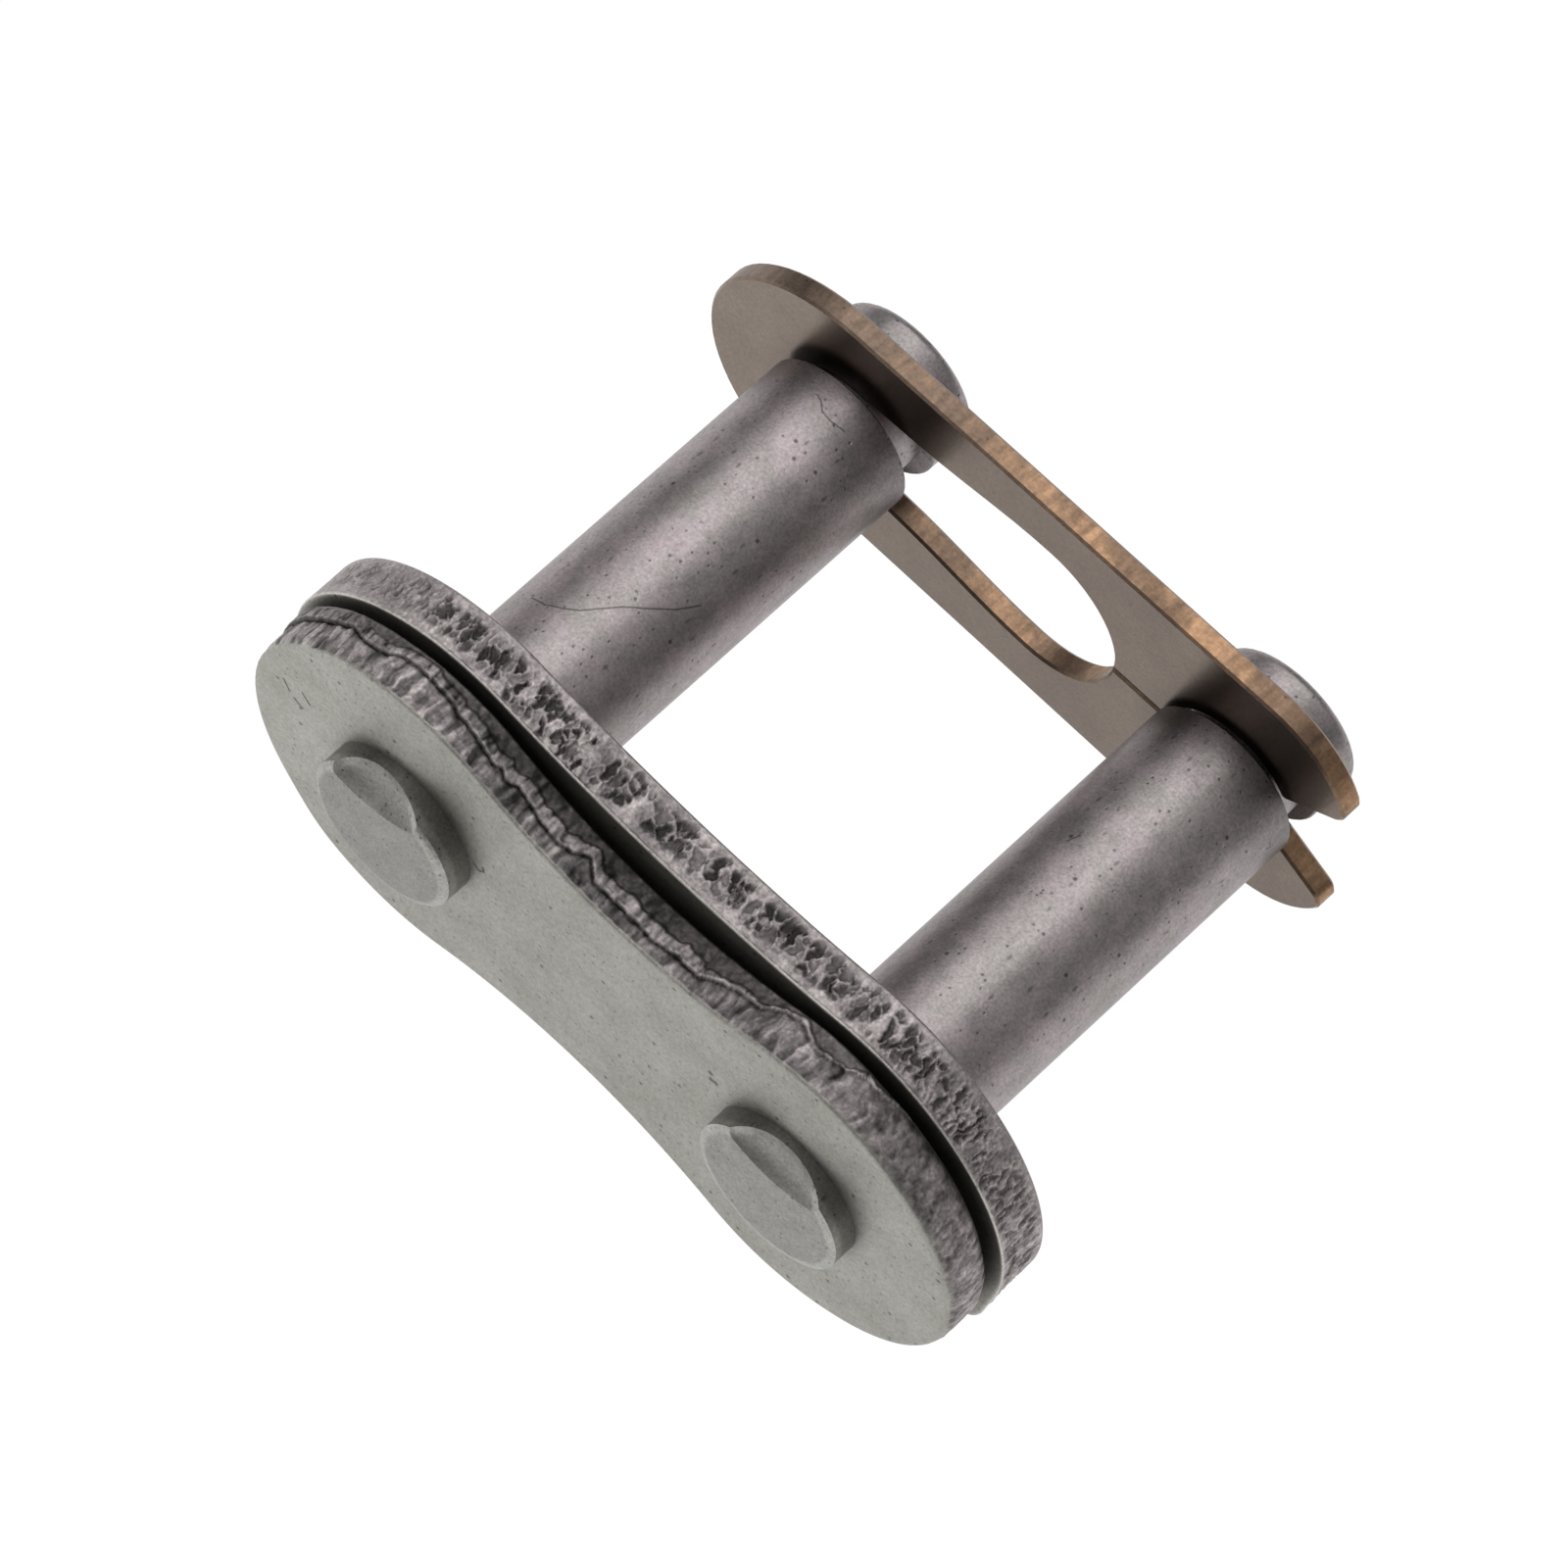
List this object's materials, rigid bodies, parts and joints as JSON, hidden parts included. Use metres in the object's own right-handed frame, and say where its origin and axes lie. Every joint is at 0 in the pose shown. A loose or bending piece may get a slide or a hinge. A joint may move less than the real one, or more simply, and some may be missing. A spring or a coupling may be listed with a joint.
{
  "type": "roller chain connecting link",
  "caption": "Spring-clip connecting link for a roller chain: waisted plate with pressed-in pins, loose cover plate and sprung clip.",
  "frame": {"origin": "midway between the two pins, half way along them, at the centre of the whole link", "axes": "+X along the pitch from the pin at the clip's closed end to the pin at its open end, +Y along the pins from the pin link plate to the clip, +Z across the plates, up"},
  "size_m": [0.0234, 0.0188, 0.0106],
  "materials": {
    "plate_steel": "tumbled satin, torn grey edges",
    "pin_steel": "ground and polished, a little pitted",
    "clip_steel": "bronze heat tint on spring steel"
  },
  "bodies": {
    "pinned_half": {"pin_link_plate": "plate_steel", "pin_1": "pin_steel", "pin_2": "pin_steel"},
    "cover": {"cover_plate": "plate_steel"},
    "clip": {"spring_clip": "clip_steel"}
  },
  "joints": [
    {"name": "cover_slide", "type": "slide", "parent": "pinned_half", "child": "cover", "axis": [0, 1, 0], "range_m": [-0.0002, 0.0121]},
    {"name": "clip_slide", "type": "slide", "parent": "pinned_half", "child": "clip", "axis": [1, 0, 0], "range_m": [-0.0072, 0], "deforming": ["spring_clip"]}
  ]
}
